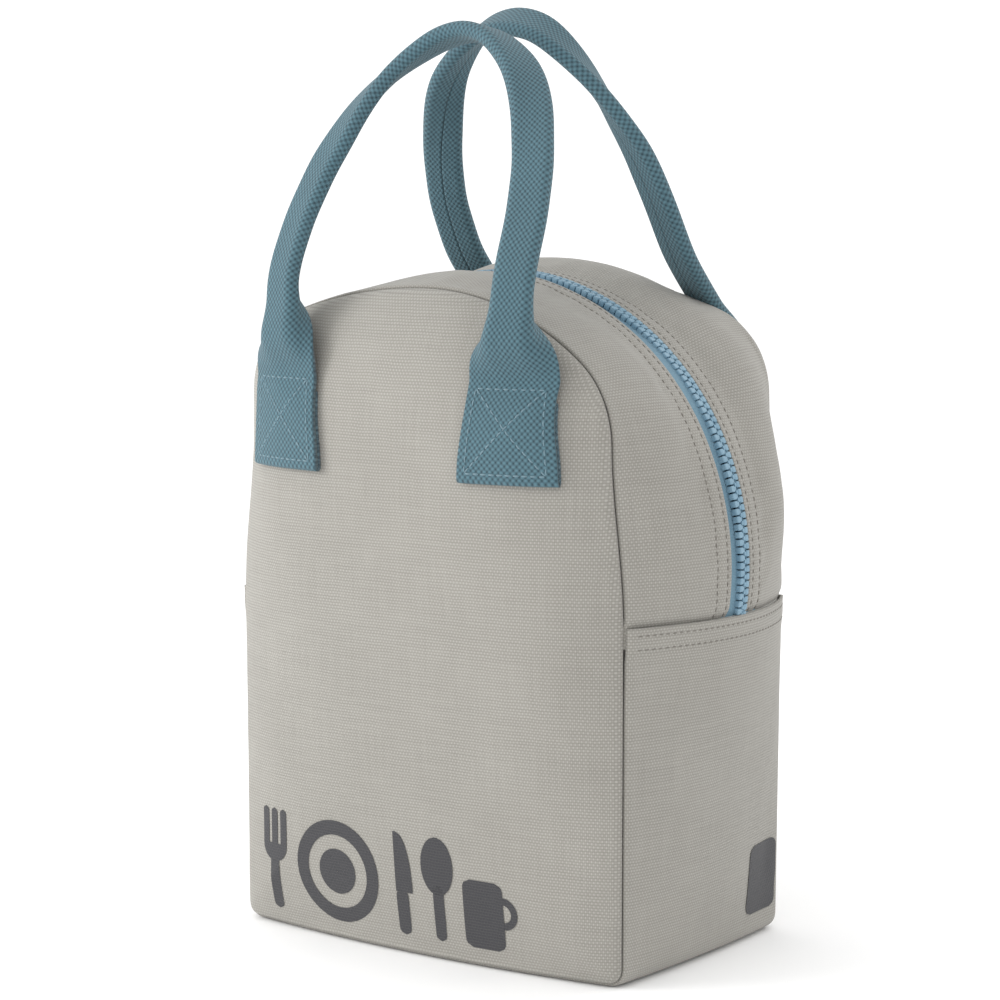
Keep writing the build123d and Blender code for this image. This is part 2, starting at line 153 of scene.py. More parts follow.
def narrowed(points):
    """The panels narrow a little towards their shoulders."""
    out = points.copy()
    out[:, 0] *= 1 - 0.06 * smooth((points[:, 1] - 0.140) / 0.070)
    return out


def rising(half, top_x, counts, spread=0.0):
    """Right half of an outline from the middle of the bottom to the hem; spread rounds its side."""
    base, foot, side = counts
    line = np.linspace((0, 0), (half - FOOT, 0), base)
    corner = arc(half - FOOT, FOOT, FOOT, -90, 0, foot)
    up = np.linspace((half, FOOT), (top_x, HEM_Z), side)
    up[:, 0] += spread * np.sin(np.linspace(0, math.pi, side))
    return np.concatenate([line[:-1], corner[:-1], up])


def seam_lower(counts):
    """The lower half of the panels' seam, on the right."""
    return rising(SEAM_HALF, SEAM_HALF, counts)


RIGHT_ARCH = (41 * MM, 132 * MM)    # radii of a shoulder and of the crown beside it
LEFT_ARCH = (36 * MM, 230 * MM)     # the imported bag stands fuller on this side
REAR_ARCH = (37 * MM, 215 * MM)     # behind, the right side stands nearly as full
ARCHES = {"front": (RIGHT_ARCH, LEFT_ARCH), "rear": (REAR_ARCH, LEFT_ARCH)}
LEFT_LIFT = 1.2 * MM                # and lifts its zipper a little; the slider keeps to the circle
MIDDLE_LIFT = 1.2 * MM


def seam_upper(count, radii=RIGHT_ARCH):
    """Half of the seam, as if on the right, from the hem to the middle of the top."""
    shoulder, crown = radii
    crown_z = SEAM_TOP - crown
    centre_x = SEAM_HALF - shoulder
    centre_z = crown_z + math.sqrt((crown - shoulder) ** 2 - centre_x**2)
    turn = math.degrees(math.asin((centre_z - crown_z) / (crown - shoulder)))
    up = np.linspace((SEAM_HALF, HEM_Z), (SEAM_HALF, centre_z), 60)
    corner = arc(centre_x, centre_z, shoulder, 0, turn, 60)
    top = arc(0, crown_z, crown, turn, 90, 80)
    return resample(narrowed(np.concatenate([up[:-1], corner[:-1], top])), count)


KNEE = math.asin((HEM_Z - ZIP_Z) / ZIP_RADIUS)    # where the zipper's circle meets the hem


def zip_lower(counts):
    """Right half of the gusset's outline at mid depth, from the middle of the base to the hem."""
    return rising(BASE_HALF, ZIP_RADIUS * math.cos(KNEE), counts, 1.5 * MM)


def zip_upper(count):
    """Right half of the zipper's circle, from the hem to the top."""
    return arc(0, ZIP_Z, ZIP_RADIUS, math.degrees(KNEE), 90, count)


def whole(right, closed_at_top, left=None):
    """Both halves of an outline: over the top from right to left, or under the base back again."""
    left = (right if left is None else left)[::-1] * (-1, 1)
    if closed_at_top:
        return np.concatenate([right, left[1:]])
    return np.concatenate([left, right[1:]])


def fuller(x, z):
    """How far the zipper's line is lifted off its circle at x and z."""
    high = smooth((z - 0.185) / 0.05)
    left = smooth(-x / (50 * MM)) * (1 - smooth((-x - 72 * MM) / (34 * MM)))
    return LEFT_LIFT * high * left + MIDDLE_LIFT * high * np.exp(-((x / (34 * MM)) ** 2))


def outward(points):
    """Unit normals of an outline that runs anticlockwise as the front is seen, out of the bag."""
    t = unit(np.gradient(points, axis=0))
    return np.stack([t[:, 1], -t[:, 0]], 1)


# ---- fields on the cloth
def ripple(points, scale, seed, waves=7):
    """A smooth random field of about unit height, the same on every run."""
    r = np.random.default_rng(seed)
    total = np.zeros(points.shape[:-1])
    for _ in range(waves):
        direction = unit(r.normal(size=3))
        total += np.sin(points @ direction * 2 * math.pi / (scale * r.uniform(0.7, 1.5)) + r.uniform(0, 6.3))
    return total / math.sqrt(waves)


def normals(grid):
    """Unit normals of a grid of points."""
    return unit(np.cross(np.gradient(grid, axis=0), np.gradient(grid, axis=1)))


def bow(x, z):
    """How far the bottom seams bow outwards at x."""
    return BASE_BOW * np.clip(1 - (x / SEAM_HALF) ** 2, 0, 1) * np.exp(-z / (30 * MM))


def panel_edge(side):
    """The whole outline of a panel, anticlockwise as the front is seen."""
    right, left = ARCHES[side]
    upper = whole(seam_upper(160, right), True, seam_upper(160, left))
    return np.concatenate([upper[:-1], whole(seam_lower((80, 16, 90)), False)[:-1]])


PANEL_EDGE = {side: panel_edge(side) for side in ARCHES}


def edge_of(x, z, side="front"):
    """Distance to the panel's seam, the nearest point on it and the direction inwards from it."""
    flat = np.stack([np.ravel(x), np.ravel(z)], 1)
    a = PANEL_EDGE[side]
    b = np.roll(a, -1, axis=0)
    d = b - a
    size = np.maximum((d**2).sum(1), 1e-14)
    t = np.clip(((flat[:, None] - a[None]) * d[None]).sum(2) / size, 0, 1)
    foot = a[None] + t[..., None] * d[None]
    gap = np.linalg.norm(flat[:, None] - foot, axis=2)
    k = gap.argmin(1)
    rows = np.arange(len(flat))
    nearest = foot[rows, k]
    tangent = d[k] / np.sqrt(size[k])[:, None]
    inward = np.stack([-tangent[:, 1], tangent[:, 0]], 1)
    shape = np.shape(x)
    return gap[rows, k].reshape(shape), nearest.reshape(shape + (2,)), inward.reshape(shape + (2,))


def swell(distance, x, z):
    """How far a panel stands out from its seam plane."""
    rise = 1 - (1 - np.clip(distance / BULGE_REACH, 0, 1)) ** 5
    low = bow(x, z)
    full = BULGE_LOW + (BULGE_HIGH - BULGE_LOW) * smooth((z - 0.03) / 0.17)
    return low + (full - low) * rise


def panel_depth(x, z, side="front"):
    """Distance of a panel's outer face from the bag's middle plane."""
    distance, _, _ = edge_of(x, z, side)
    return SEAM_Y + swell(distance, x, z)


# ---- grids of the bag's cloth
def spaced(total, fine, coarse, fine_zone):
    """Positions from 0 to total, close together over fine_zone at the start."""
    near = np.linspace(0, fine_zone, max(2, round(fine_zone / fine) + 1))
    far = np.linspace(fine_zone, total, max(2, round((total - fine_zone) / coarse) + 1))
    return np.concatenate([near[:-1], far])


def both_ends(total, fine, coarse, fine_zone):
    half = spaced(total / 2, fine, coarse, fine_zone)
    return np.concatenate([half, (total - half[::-1])[1:]])


def panel_grid(sign, inset, seed):
    """A panel's cloth: a patch between its four edges, swollen outwards and rolled in at its seam."""
    side = "rear" if sign > 0 else "front"
    edge = PANEL_EDGE[side]
    closed = np.concatenate([edge, edge[:1]])
    length = along(closed)

    def stretch(first, last, fractions):
        if last < first:
            last += length[-1]
        return sampled((first + (last - first) * fractions) % length[-1], length, closed)

    def nearest_to(x, z):
        return length[np.argmin(np.hypot(edge[:, 0] - x, edge[:, 1] - z))]

    top_right = nearest_to(72 * MM, 0.2435)
    top_left = nearest_to(-72 * MM, 0.2435)
    low_left = nearest_to(-SEAM_HALF + 3 * MM, 3 * MM)
    low_right = nearest_to(SEAM_HALF - 3 * MM, 3 * MM)
    across = both_ends(1, 0.005, 0.019, 0.03)
    upright = both_ends(1, 0.0035, 0.013, 0.021)
    top = stretch(top_right, top_left, 1 - across)
    bottom = stretch(low_left, low_right, across)
    left = stretch(top_left, low_left, 1 - upright)
    right = stretch(low_right, top_right, upright)
    u = across[None, :, None]
    v = upright[:, None, None]
    flat = (1 - v) * bottom[None] + v * top[None] + (1 - u) * left[:, None] + u * right[:, None]
    flat -= (1 - u) * (1 - v) * bottom[0] + u * (1 - v) * bottom[-1] + (1 - u) * v * top[0] + u * v * top[-1]
    x, z = flat[..., 0], flat[..., 1]
    distance, seam, inward = edge_of(x, z, side)
    depth = SEAM_Y + swell(distance, x, z)
    grid = np.stack([x, -depth, z], 2)
    calm = smooth(distance / CALM_ZONE)
    grid[..., 1] -= calm * CALM_HEIGHT * ripple(grid, CALM_SCALE, seed)
    grid[..., 1] -= (1 - calm) * smooth(distance / (4 * MM)) * 0.22 * MM * ripple(grid, 0.014, seed + 1)

    rolled = distance < ROLL
    t = 1 - np.clip(distance / ROLL, 0, 1)
    base_x, base_z = seam[..., 0], seam[..., 1]
    shallow = SEAM_Y + swell(np.full_like(distance, ROLL), base_x, base_z)
    flat_seam = SEAM_Y + bow(base_x, base_z)
    p0 = np.stack([base_x + inward[..., 0] * ROLL, -shallow, base_z + inward[..., 1] * ROLL], 2)
    p1 = np.stack([base_x, -flat_seam, base_z], 2)
    into = np.stack([inward[..., 0], np.ones_like(distance), inward[..., 1]], 2)
    grid = np.where(rolled[..., None], curve(t[..., None], p0, p1, p1 + into * SEAM_DEPTH), grid)
    uv = np.stack([x, z], 2)
    grid[..., 1] += inset
    if inset:
        shrink = inset * np.clip(1 - distance / (30 * MM), 0, 1)
        grid[..., 0] += inward[..., 0] * shrink
        grid[..., 2] += inward[..., 1] * shrink
    if sign > 0:
        grid[..., 1] *= -1
    return grid, uv


def gusset_grid(seam, middle, columns, side, inset=0.0, to_zip=True):
    """Cloth between a seam and the middle plane. columns are distances from the seam plane."""
    sign = {"front": -1, "rear": 1}[side]
    out = outward(seam)
    bows = bow(seam[:, 0], seam[:, 1])
    rows = []
    for e in columns:
        y = SEAM_Y - e
        share = 1 - (y / SEAM_Y) ** 2
        point = seam + (middle - seam) * share
        depth = sign * y * (1 + bows / SEAM_Y)
        rows.append(np.stack([point[:, 0], depth, point[:, 1]], 1))
    grid = np.stack(rows, 1)
    n3 = np.stack([out[:, 0], np.zeros(len(out)), out[:, 1]], 1)[:, None]
    e = np.asarray(columns)[None, :]
    standing = smooth((seam[:, 1] - 2 * MM) / (12 * MM))[:, None]
    edge_far = columns[-1] if to_zip else 1.0
    calm = smooth((e - 2 * MM) / (14 * MM)) * smooth((edge_far - 8 * MM - e) / (12 * MM)) * standing
    grid += n3 * (calm * 0.9 * MM * ripple(grid, 0.085, 31))[..., None]
    pucker = smooth(e / (4 * MM)) * smooth((24 * MM - e) / (18 * MM)) * standing
    grid += n3 * (pucker * 0.22 * MM * ripple(grid, 0.014, 32))[..., None]
    if to_zip:
        pillow = np.sin(math.pi * np.clip((e - 3 * MM) / (edge_far - 13 * MM), 0, 1)) ** 1.3
        rows_near = np.minimum(abs(edge_far - e - STITCH_ROWS[0]), abs(edge_far - e - STITCH_ROWS[1]))
        sewn = np.exp(-((rows_near / (1.3 * MM)) ** 2))
        lip = smooth((e - edge_far + 1.2 * MM) / (1.2 * MM))
        soft = 5.0 * MM if side == "rear" else 2.0 * MM
        above_hem = smooth((seam[:, 1] - HEM_Z) / (45 * MM))[:, None]
        lift = pillow * soft * above_hem - sewn * 0.35 * MM - lip * 0.5 * MM
        band = smooth((e - edge_far + 26 * MM) / (8 * MM)) * smooth((edge_far - 7 * MM - e) / (3 * MM))
        lift = lift + band * 0.3 * MM * ripple(grid, 0.011, 33)
        grid += n3 * lift[..., None]
    y = SEAM_Y - ROLL
    share = 1 - (y / SEAM_Y) ** 2
    flat = seam + (middle - seam) * share
    p0 = np.stack([flat[:, 0], sign * y * (1 + bows / SEAM_Y), flat[:, 1]], 1)
    p1 = np.stack([seam[:, 0], sign * (SEAM_Y + bows), seam[:, 1]], 1)
    p2 = p1 - n3[:, 0] * SEAM_DEPTH
    p2[:, 1] -= sign * SEAM_DEPTH
    for j, gap in enumerate(columns):
        if gap < ROLL:
            grid[:, j] = curve(1 - gap / ROLL, p0, p1, p2)
    if inset:
        grid -= n3 * inset
        near_seam = np.clip(1 - e / (20 * MM), 0, 1)
        grid[..., 1] -= sign * inset * near_seam
    return grid


def strip_outlines(side):
    """The seam and the zipper's line, from a little way down behind the hem."""
    drop = np.linspace(HEM_Z - UNDER_HEM, HEM_Z, 5)[:-1]
    right_arch, left_arch = ARCHES[side]
    seam = seam_upper(150, right_arch)
    low_seam = np.stack([np.full(4, SEAM_HALF), drop], 1)
    middle = zip_upper(150)
    slope = (middle[0, 0] - BASE_HALF) / (HEM_Z - FOOT)
    low_middle = np.stack([middle[0, 0] - slope * (HEM_Z - drop), drop], 1)
    left_seam = np.concatenate([low_seam, seam_upper(150, left_arch)])
    over = whole(np.concatenate([low_seam, seam]), True, left_seam)
    chain = whole(np.concatenate([low_middle, middle]), True)
    chain[:, 1] += fuller(chain[:, 0], chain[:, 1])
    return over, chain


# ---- meshes
def placed(name, data):
    """A new object in the scene."""
    obj = bpy.data.objects.new(name, data)
    bpy.context.scene.collection.objects.link(obj)
    return obj


def mesh_object(name, verts, faces, material, uvs=None):
    mesh = bpy.data.meshes.new(name)
    mesh.from_pydata([tuple(v) for v in verts], [], faces)
    if uvs is not None:
        layer = mesh.uv_layers.new(name="UVMap")
        corner = np.zeros(len(mesh.loops), np.int32)
        mesh.loops.foreach_get("vertex_index", corner)
        layer.data.foreach_set("uv", np.asarray(uvs, np.float32)[corner].ravel())
    mesh.materials.append(material)
    mesh.polygons.foreach_set("use_smooth", [True] * len(mesh.polygons))
    mesh.update()
    return placed(name, mesh)


def grid_faces(rows, cols, flip=False, first=0):
    faces = []
    for i in range(rows - 1):
        for j in range(cols - 1):
            a = first + i * cols + j
            quad = (a, a + 1, a + cols + 1, a + cols)
            faces.append(quad[::-1] if flip else quad)
    return faces


def run_lengths(grid):
    """UVs in metres: lengths along the middle column and middle row of a grid."""
    rows, cols = grid.shape[:2]
    v = along(grid[:, cols // 2])
    u = along(grid[rows // 3])
    return np.stack(np.broadcast_arrays(u[None, :], v[:, None]), 2)


def cloth(name, grid, material, thickness, flip=False, uv=None, levels=1):
    """A sheet of cloth whose outer face is the grid."""
    rows, cols = grid.shape[:2]
    uv = run_lengths(grid) if uv is None else uv
    obj = mesh_object(name, grid.reshape(-1, 3), grid_faces(rows, cols, flip), material, uv.reshape(-1, 2))
    if levels:
        smoother = obj.modifiers.new("smooth", "SUBSURF")
        smoother.levels = levels
        smoother.render_levels = levels
    thick = obj.modifiers.new("cloth", "SOLIDIFY")
    thick.thickness = thickness
    thick.offset = -1
    thick.use_even_offset = False
    return obj


def stands_for(nodes=()):
    """The piece replaces those nodes, which are hidden."""
    if nodes:
        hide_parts(*nodes)


def on_wall(piece, slot, side, *nodes):
    """The piece stands for the nodes; its transform is baked into its mesh."""
    stands_for(nodes)
    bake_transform(piece)


def on_shell(piece, slot, *nodes):
    """The piece stands for the nodes and stays with the shell."""
    stands_for(nodes)
    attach(piece, "shell")


def capsule_stitches(name, lines, material, stitch):
    """Thread lying on the cloth. Each line is (points, outward normals)."""
    pitch, length, width, rise = stitch
    around, steps = 6, 5
    verts, faces = [], []
    for points, out in lines:
        run = along(points)
        count = max(1, int(run[-1] / pitch))
        for k in range(count):
            centre = (k + 0.5) * run[-1] / count
            at = centre + (np.linspace(0, 1, steps) - 0.5) * length
            path = sampled(at, run, points)
            n = unit(sampled(at, run, out))
            b = np.cross(unit(path[-1] - path[0]), n)
            arch = np.sin(np.linspace(0, math.pi, steps))
            first = len(verts)
            for i in range(steps):
                girth = width / 2 * (0.45 + 0.55 * arch[i])
                mid = path[i] + n[i] * (rise * arch[i] - 0.1 * MM)
                for q in range(around):
                    a = 2 * math.pi * q / around
                    verts.append(mid + n[i] * girth * 0.8 * math.sin(a) + b[i] * girth * math.cos(a))
            for i in range(steps - 1):
                for q in range(around):
                    r = (q + 1) % around
                    low, high = first + i * around, first + (i + 1) * around
                    faces.append((low + q, low + r, high + r, high + q))
            faces.append(tuple(first + q for q in range(around))[::-1])
            faces.append(tuple(first + (steps - 1) * around + q for q in range(around)))
    return mesh_object(name, verts, faces, material)


def column_at(grid, columns, e, flip):
    """The line along a grid at distance e across it, with its outward normals."""
    n = normals(grid) * (1 if flip else -1)
    line, out = (np.stack([sampled(e, columns, row) for row in rows]) for rows in (grid, n))
    return line, unit(out)


# ---- materials
class Nodes:
    """Short names for building a material's nodes."""

    def __init__(self, name):
        self.material = bpy.data.materials.new(name)
        self.material.use_nodes = True
        self.tree = self.material.node_tree
        self.tree.nodes.clear()

    def add(self, kind, **settings):
        node = self.tree.nodes.new(kind)
        for key, value in settings.items():
            setattr(node, key, value)
        return node

    def put(self, socket, value):
        if hasattr(value, "links"):
            self.tree.links.new(value, socket)
        elif value is not None:
            socket.default_value = value

    def math(self, operation, a, b=None, c=None, clamp=False):
        node = self.add("ShaderNodeMath", operation=operation, use_clamp=clamp)
        for socket, value in zip(node.inputs, (a, b, c)):
            self.put(socket, value)
        return node.outputs[0]

    def centred(self, value):
        return self.math("SUBTRACT", value, 0.5)

    def object_place(self):
        return self.add("ShaderNodeTexCoord").outputs["Object"]

    def noise(self, vector, scale, detail=2.0, rough=0.5):
        node = self.add("ShaderNodeTexNoise")
        self.put(node.inputs["Vector"], vector)
        self.put(node.inputs["Scale"], scale)
        self.put(node.inputs["Detail"], detail)
        self.put(node.inputs["Roughness"], rough)
        return node.outputs["Fac"]

    def stretch(self, vector, scale, turn=0.0):
        node = self.add("ShaderNodeMapping")
        self.put(node.inputs["Vector"], vector)
        node.inputs["Scale"].default_value = scale
        node.inputs["Rotation"].default_value = (0, 0, turn)
        return node.outputs[0]

    def ramp(self, value, low, high):
        node = self.add("ShaderNodeMapRange")
        self.put(node.inputs["Value"], value)
        node.inputs["From Min"].default_value = low
        node.inputs["From Max"].default_value = high
        return node.outputs[0]

    def mix(self, factor, a, b):
        node = self.add("ShaderNodeMix", data_type="RGBA")
        self.put(node.inputs["Factor"], factor)
        self.put(node.inputs["A"], a)
        self.put(node.inputs["B"], b)
        return node.outputs["Result"]

    def finish(self, colour, roughness, height=None, distance=0.0002, sheen=0.0, metallic=0.0, coat=0.0):
        shader = self.add("ShaderNodeBsdfPrincipled")
        self.put(shader.inputs["Base Color"], colour)
        self.put(shader.inputs["Roughness"], roughness)
        shader.inputs["Metallic"].default_value = metallic
        shader.inputs["Sheen Weight"].default_value = sheen
        shader.inputs["Sheen Roughness"].default_value = 0.6
        shader.inputs["Coat Weight"].default_value = coat
        if height is not None:
            bump = self.add("ShaderNodeBump")
            bump.inputs["Strength"].default_value = 1.0
            bump.inputs["Distance"].default_value = distance
            self.put(bump.inputs["Height"], height)
            self.put(shader.inputs["Normal"], bump.outputs[0])
        output = self.add("ShaderNodeOutputMaterial")
        self.put(output.inputs["Surface"], shader.outputs[0])
        return self.material


GAIN = 0.72                   # the studio light is brighter than 1 on the front panel


def linear(r, g, b, gain=GAIN):
    """A colour from 0 to 255 as linear light."""
    shares = (c / 255 for c in (r, g, b))
    light = (c / 12.92 if c <= 0.04045 else ((c + 0.055) / 1.055) ** 2.4 for c in shares)
    return (*(c * gain for c in light), 1.0)


def woven(name, light, dark, warp, weft, depth, turn=0.0, slub=0.35, sheen=0.15, ink=None, roughness=0.9,
          stagger=0.3):
    """Plain weave: warp and weft are the distances between threads, in metres. stagger is how much the
    threads on top stand out from those between them."""
    g = Nodes(name)
    uv = g.add("ShaderNodeUVMap", uv_map="UVMap").outputs[0]
    place = g.stretch(uv, (1, 1, 1), turn)
    sway = g.noise(place, 90.0).node.outputs["Color"]
    centred = g.add("ShaderNodeVectorMath", operation="SUBTRACT")
    g.put(centred.inputs[0], sway)
    centred.inputs[1].default_value = (0.5, 0.5, 0.5)
    moved = g.add("ShaderNodeVectorMath", operation="MULTIPLY_ADD")
    g.put(moved.inputs[0], centred.outputs[0])
    moved.inputs[1].default_value = (warp * 0.7, weft * 0.7, 0)
    g.put(moved.inputs[2], place)
    split = g.add("ShaderNodeSeparateXYZ")
    g.put(split.inputs[0], moved.outputs[0])
    across = g.math("SINE", g.math("MULTIPLY", split.outputs[0], math.pi / warp))
    up = g.math("SINE", g.math("MULTIPLY", split.outputs[1], math.pi / weft))
    cell = g.math("MULTIPLY", across, up)
    bump = g.math("POWER", g.math("ABSOLUTE", cell), 0.6)
    rib = g.math("ABSOLUTE", up)
    gaps = g.math("POWER", g.ramp(cell, 1.0, -1.0), 1 + stagger)
    over = g.math("SUBTRACT", 1.0, gaps)
    ribs = g.math("MULTIPLY_ADD", over, stagger, g.math("MULTIPLY", rib, 0.12))
    height = g.math("MULTIPLY_ADD", bump, 0.9 - stagger, ribs)
    yarn_u = g.noise(g.stretch(place, (30, 1 / weft * 0.9, 1)), 1.0, 3.0, 0.6)
    yarn_v = g.noise(g.stretch(place, (1 / warp * 0.9, 30, 1)), 1.0, 3.0, 0.6)
    yarn = g.math("ADD", g.centred(yarn_u), g.centred(yarn_v))
    fuzz = g.centred(g.noise(uv, 5200.0))
    cloud = g.centred(g.noise(uv, 28.0, 4.0, 0.55))
    # Painted shade: the colour follows the weave's height and is darker where threads lie low between
    # others; slub, fuzz and cloud add the yarn's own uneven tone.
    shade = g.math("MULTIPLY_ADD", height, 0.95, g.math("MULTIPLY", yarn, slub))
    shade = g.math("ADD", shade, g.math("MULTIPLY", fuzz, 0.35))
    shade = g.math("ADD", shade, g.math("MULTIPLY", cloud, 0.22), clamp=True)
    colour = g.mix(shade, dark, light)
    if ink is not None:
        colour = g.mix(g.ramp(height, 0.05, 0.5), linear(95, 93, 90, 1.0), ink)
    rough = g.math("SUBTRACT", roughness, g.math("MULTIPLY", height, 0.08))
    relief = g.math("ADD", height, g.math("MULTIPLY", fuzz, 0.25))
    return g.finish(colour, rough, relief, depth, sheen)


def thread(name, colour):
    """Twisted sewing thread."""
    g = Nodes(name)
    place = g.object_place()
    twist = g.noise(place, 2600.0)
    shade = g.mix(g.ramp(twist, 0.3, 0.75), tuple(c * 0.72 for c in colour[:3]) + (1,), colour)
    return g.finish(shade, 0.75, twist, 0.0001, 0.2)


def moulded(name, colour, dark, roughness, coat=0.0, metallic=0.0, grain=900.0):
    """Plastic or lacquer: faint mottling, fine pitting and a duller tone in scuffed spots."""
    g = Nodes(name)
    place = g.object_place()
    cloud = g.noise(place, 160.0, 4.0, 0.6)
    pits = g.noise(place, grain, 3.0)
    tone = g.mix(g.ramp(cloud, 0.3, 0.75), dark, colour)
    rough = g.math("ADD", roughness, g.math("MULTIPLY", g.ramp(cloud, 0.35, 0.7), 0.14))
    return g.finish(tone, rough, pits, 0.00006, 0.0, metallic, coat)


def foamed(name, colour, dark):
    """Open foam: small cells at two sizes."""
    g = Nodes(name)
    place = g.object_place()
    cells = g.add("ShaderNodeTexVoronoi")
    g.put(cells.inputs["Vector"], place)
    cells.inputs["Scale"].default_value = 1100.0
    cloud = g.noise(place, 60.0, 3.0)
    mixed = g.math("MULTIPLY_ADD", cells.outputs["Distance"], 0.7, g.math("MULTIPLY", cloud, 0.4))
    return g.finish(g.mix(mixed, dark, colour), 0.95, mixed, 0.0004)


# Weaves: distances between the warp threads and between the weft threads, and the relief, in metres.
CANVAS_WEAVE = (0.00075, 0.00117, 0.00012)
GRIP_WEAVE = (0.00118, 0.00125, 0.0003)
TWILL_WEAVE = (0.0011, 0.0022, 0.0004)
TAPE_WEAVE = (0.0005, 0.0006, 0.00012)
LINING_WEAVE = (0.00028, 0.00028, 0.00005)
BINDING_WEAVE = (0.0006, 0.0011, 0.00016)

# In the weaves below, the second colour is painted shade for the low places between the threads, and also
# the dark end of the yarn's uneven tone.
plain = {"slub": 0.25, "stagger": 0.4}
canvas = woven("canvas", linear(199, 196, 188), linear(130, 126, 118), *CANVAS_WEAVE, **plain)
ink = linear(58, 58, 63)
canvas_print = woven("canvas_print", linear(62, 62, 66), linear(30, 30, 34), *CANVAS_WEAVE, ink=ink, **plain)
grip = {"slub": 0.15, "sheen": 0.1, "stagger": 0.85}
webbing = woven("webbing", linear(97, 138, 152), linear(22, 44, 54), *GRIP_WEAVE, **grip)
twill = {"turn": math.radians(38), "slub": 0.25}
webbing_twill = woven("webbing_inner", linear(104, 134, 145), linear(34, 52, 62), *TWILL_WEAVE, **twill)
zip_tape = woven("zip_tape", linear(140, 180, 200), linear(92, 134, 158), *TAPE_WEAVE)
satin = {"sheen": 0.0, "roughness": 0.5}
lining = woven("lining", linear(196, 198, 202), linear(150, 152, 158), *LINING_WEAVE, **satin)
binding = woven("binding", linear(150, 153, 156), linear(88, 91, 95), *BINDING_WEAVE)
foam = foamed("foam", linear(238, 238, 232), linear(196, 196, 188))
canvas_thread = thread("canvas_thread", linear(150, 145, 136))
webbing_thread = thread("webbing_thread", linear(132, 166, 180))
tooth_plastic = moulded("zip_teeth", linear(158, 194, 214), linear(130, 170, 194), 0.45)
lacquer = {"coat": 0.35, "metallic": 0.25}
slider_lacquer = moulded("slider_metal", linear(126, 168, 196), linear(96, 136, 164), 0.32, **lacquer)
board_sheet = moulded("board", linear(222, 224, 224), linear(200, 202, 202), 0.6, grain=400.0)


# ---- the two panels
for side, sign in SIDES:
    flip = sign > 0
    for name, inset, thickness, material, slot in (
        ("panel", 0.0, CANVAS, canvas, "canvas"),
        ("foam", CANVAS, FOAM, foam, "foam"),
        ("lining", CANVAS + FOAM, LINING, lining, "lining"),
    ):
        grid, uv = panel_grid(sign, inset, CALM_SEED)
        levels = 1 if name == "panel" else 0
        held = None if name == "foam" else "stretched"
        piece = cloth(f"{side}_{name}", grid, material, thickness, flip, uv, levels)
        on_wall(piece, slot, side, f"{side}_{name}_lower", f"{side}_{name}_upper")


# ---- the zip strips of the upper gusset
def tucked(grid):
    """The strips' lower ends lie behind the lower gusset's hem."""
    out = grid.copy()
    share = 1 - smooth((grid[..., 2] - HEM_Z + 1 * MM) / (5 * MM))
    out[..., 0] -= np.sign(grid[..., 0]) * HIDDEN_DROP * share
    return out


for side, sign in SIDES:
    flip = sign > 0
    edge = SEAM_Y - ZIP_EDGE[side]
    strip_seam, strip_middle = strip_outlines(side)
    sewn = edge - 14 * MM
    columns = np.unique(np.concatenate([spaced(sewn, 0.0008, 0.0032, 0.0048), np.linspace(sewn, edge, 19)]))
    grid = tucked(gusset_grid(strip_seam, strip_middle, columns, side))
    strip = cloth(f"{side}_zip_strip", grid, canvas, CANVAS, flip)
    on_wall(strip, "canvas", side, f"{side}_zip_strip", f"{side}_strip_ends")

    lines = []
    for row in STITCH_ROWS:
        line, out = column_at(grid, columns, edge - row, flip)
        shown = line[:, 2] > HEM_Z - 2 * MM
        lines.append((line[shown], out[shown]))
    stitches = capsule_stitches(f"{side}_strip_stitches", lines, canvas_thread, CANVAS_STITCH)
    on_wall(stitches, "canvas", side)

    for name, first, last, inset, thickness, material, held in (
        ("foam", 3 * MM, (SEAM_Y - 17 * MM, 12), CANVAS, FOAM, foam, None),
        ("lining", 1 * MM, (SEAM_Y - 9 * MM, 14), CANVAS + FOAM, LINING, lining, "stretched"),
    ):
        inner = gusset_grid(strip_seam, strip_middle, np.linspace(first, *last), side, inset, to_zip=False)
        node = f"{side}_strip_{name}"
        piece = cloth(node, tucked(inner), material, thickness, flip, levels=0)
        on_wall(piece, name, side, node)

    tape_columns = np.linspace(SEAM_Y - 15.5 * MM, SEAM_Y - 1.5 * MM, 12)
    grid = gusset_grid(strip_seam, strip_middle, tape_columns, side, CANVAS + 0.4 * MM, to_zip=False)
    tape = cloth(f"{side}_zip_tape", grid, zip_tape, 0.6 * MM, flip, levels=0)
    on_wall(tape, "zip_tape", side, f"{side}_zip_tape", "zip_tape_ends")


# ---- the zipper's teeth
def rounded_block(length, width, height, round_off):
    """A block with rounded edges, as template points and faces."""
    import bmesh

    bm = bmesh.new()
    bmesh.ops.create_cube(bm, size=1.0)
    for v in bm.verts:
        v.co = (v.co.x * length, v.co.y * width, v.co.z * height)
    bmesh.ops.bevel(bm, geom=bm.edges[:], offset=round_off, segments=2, affect="EDGES", profile=0.6)
    verts = np.array([v.co[:] for v in bm.verts])
    faces = [[v.index for v in f.verts] for f in bm.faces]
    bm.free()
    return verts, faces


TOOTH_PITCH = 3.0 * MM
TOOTH_STEP = math.degrees(TOOTH_PITCH / TOOTH_RADIUS)
FIRST_ANGLE = math.degrees(math.asin((HEM_Z - ZIP_Z) / TOOTH_RADIUS))


